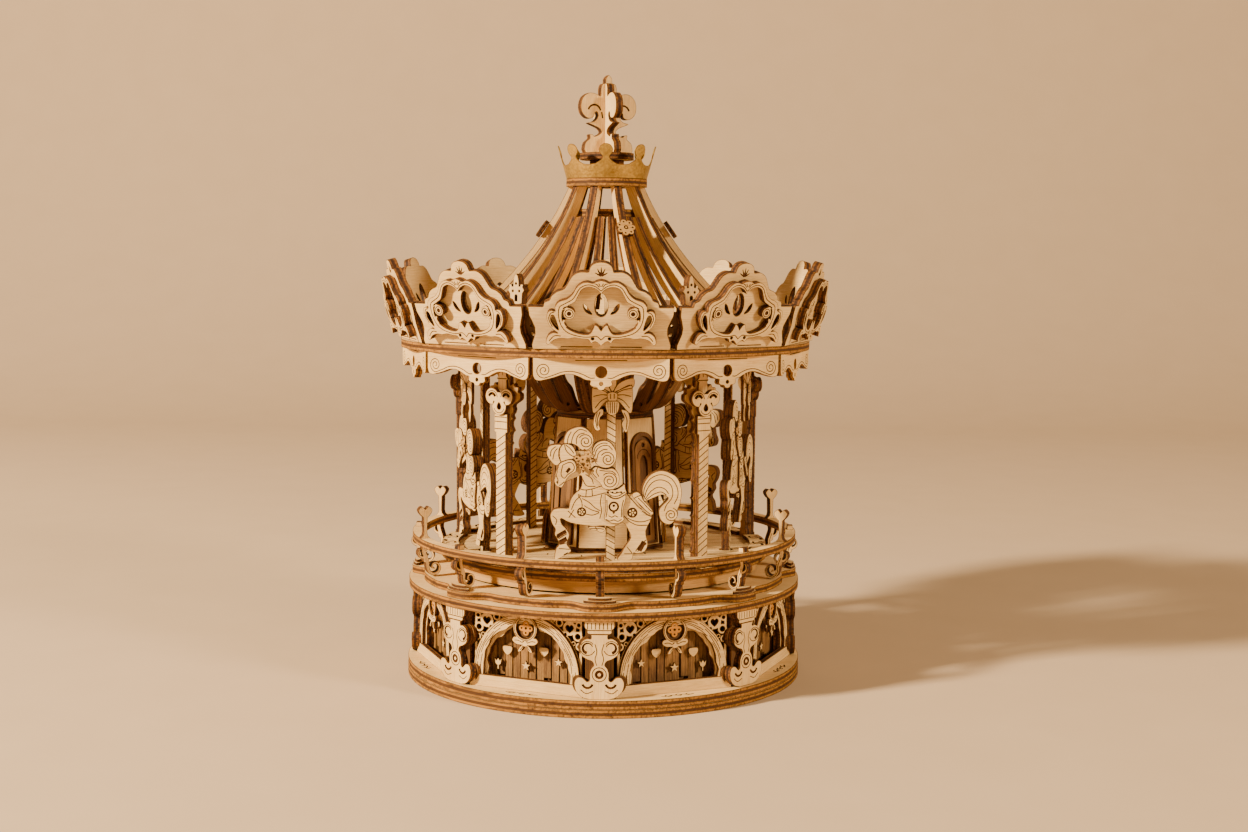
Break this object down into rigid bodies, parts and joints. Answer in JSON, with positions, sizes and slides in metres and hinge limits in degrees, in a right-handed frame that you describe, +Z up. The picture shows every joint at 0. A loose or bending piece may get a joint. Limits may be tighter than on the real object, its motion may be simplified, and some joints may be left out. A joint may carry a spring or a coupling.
{
  "type": "carousel music box",
  "caption": "Plywood carousel music box on a round arcaded drum, with a turning platform, horses on sliding poles, a lobed canopy, a ribbed roof and a gilded crown.",
  "frame": {"origin": "middle of the drum's flat underside", "axes": "+Z up along the axis that the carousel turns about; -Y is the front, where a pillar and the first horse stand"},
  "size_m": [0.1702, 0.175, 0.2313],
  "materials": {
    "plywood": "3 mm laser-cut basswood plywood, bare face, scorched edges",
    "thin_plywood": "2 mm laser-cut plywood, bare face, engraved lines",
    "charred_plywood": "plywood darkened by the laser",
    "gilded_band": "satin gold foil",
    "steel": "plated steel",
    "brass": "turned brass"
  },
  "bodies": {
    "base": {"base_plate_lower": "plywood", "base_plate_upper": "plywood", "arch_panels": "plywood", "plank_backdrops": "charred_plywood", "sill_rails": "thin_plywood", "pillar_backings": "charred_plywood", "pillars": "plywood", "medallions": "thin_plywood", "base_top_disc": "plywood", "scalloped_plate": "plywood", "baluster_pads": "thin_plywood", "rail_ring": "plywood", "balusters": "plywood", "cam_track": "plywood", "bedplate": "steel", "comb": "steel", "movement_screws": "steel", "shaft_bush": "brass"},
    "rotor": {"spring_barrel": "brass", "drive_shaft": "steel", "turntable_disc": "plywood", "turntable_skirt": "charred_plywood", "turntable_lace": "thin_plywood", "column_posts": "plywood", "column_backings": "plywood", "column_capitals": "plywood", "core_panels": "thin_plywood", "core_arch_frames": "thin_plywood", "core_doors": "thin_plywood", "core_rings": "thin_plywood", "dome_ribs": "plywood", "canopy_ring": "plywood", "pole_bows": "thin_plywood", "crest_boards": "plywood", "crest_cartouches": "plywood", "corner_posts": "thin_plywood", "column_finials": "plywood", "valances": "plywood", "roof_ribs": "plywood", "roof_short_ribs": "plywood", "roof_mid_ring": "plywood", "roof_flowers": "thin_plywood", "crown_ring": "plywood", "crown_band": "gilded_band", "crown_disc": "plywood", "finial_plate_a": "plywood", "finial_plate_b": "plywood"},
    "winding_key": {"winding_key": "brass"},
    "pin_cylinder": {"pin_cylinder": "brass"},
    "governor": {"governor": "brass"},
    "horse_1": {"horse_1": "plywood", "pole_1": "plywood"},
    "horse_2": {"horse_2": "plywood", "pole_2": "plywood"},
    "horse_3": {"horse_3": "plywood", "pole_3": "plywood"},
    "horse_4": {"horse_4": "plywood", "pole_4": "plywood"},
    "horse_5": {"horse_5": "plywood", "pole_5": "plywood"}
  },
  "joints": [
    {"name": "rotor_spin", "type": "hinge", "parent": "base", "child": "rotor", "pos_m": [0, 0, 0.046], "axis": [0, 0, 1], "continuous": true},
    {"name": "key_winding", "type": "hinge", "parent": "base", "child": "winding_key", "pos_m": [0, 0, 0.006], "axis": [0, 0, 1], "continuous": true},
    {"name": "cylinder_spin", "type": "hinge", "parent": "base", "child": "pin_cylinder", "pos_m": [0.0226, 0, 0.018], "axis": [0, 1, 0], "continuous": true},
    {"name": "governor_spin", "type": "hinge", "parent": "base", "child": "governor", "pos_m": [0.03, -0.0186, 0.014], "axis": [0, 0, 1], "continuous": true},
    {"name": "horse_1_ride", "type": "slide", "parent": "rotor", "child": "horse_1", "axis": [0, 0, 1], "range_m": [0, 0.0075]},
    {"name": "horse_2_ride", "type": "slide", "parent": "rotor", "child": "horse_2", "axis": [0, 0, 1], "range_m": [-0.0075, 0]},
    {"name": "horse_3_ride", "type": "slide", "parent": "rotor", "child": "horse_3", "axis": [0, 0, 1], "range_m": [-0.005, 0.0025]},
    {"name": "horse_4_ride", "type": "slide", "parent": "rotor", "child": "horse_4", "axis": [0, 0, 1], "range_m": [-0.002, 0.0055]},
    {"name": "horse_5_ride", "type": "slide", "parent": "rotor", "child": "horse_5", "axis": [0, 0, 1], "range_m": [0, 0.0075]}
  ],
  "couplings": [
    {"joint": "cylinder_spin", "follows": "rotor_spin", "ratio": 2.25},
    {"joint": "governor_spin", "follows": "rotor_spin", "ratio": -12}
  ]
}
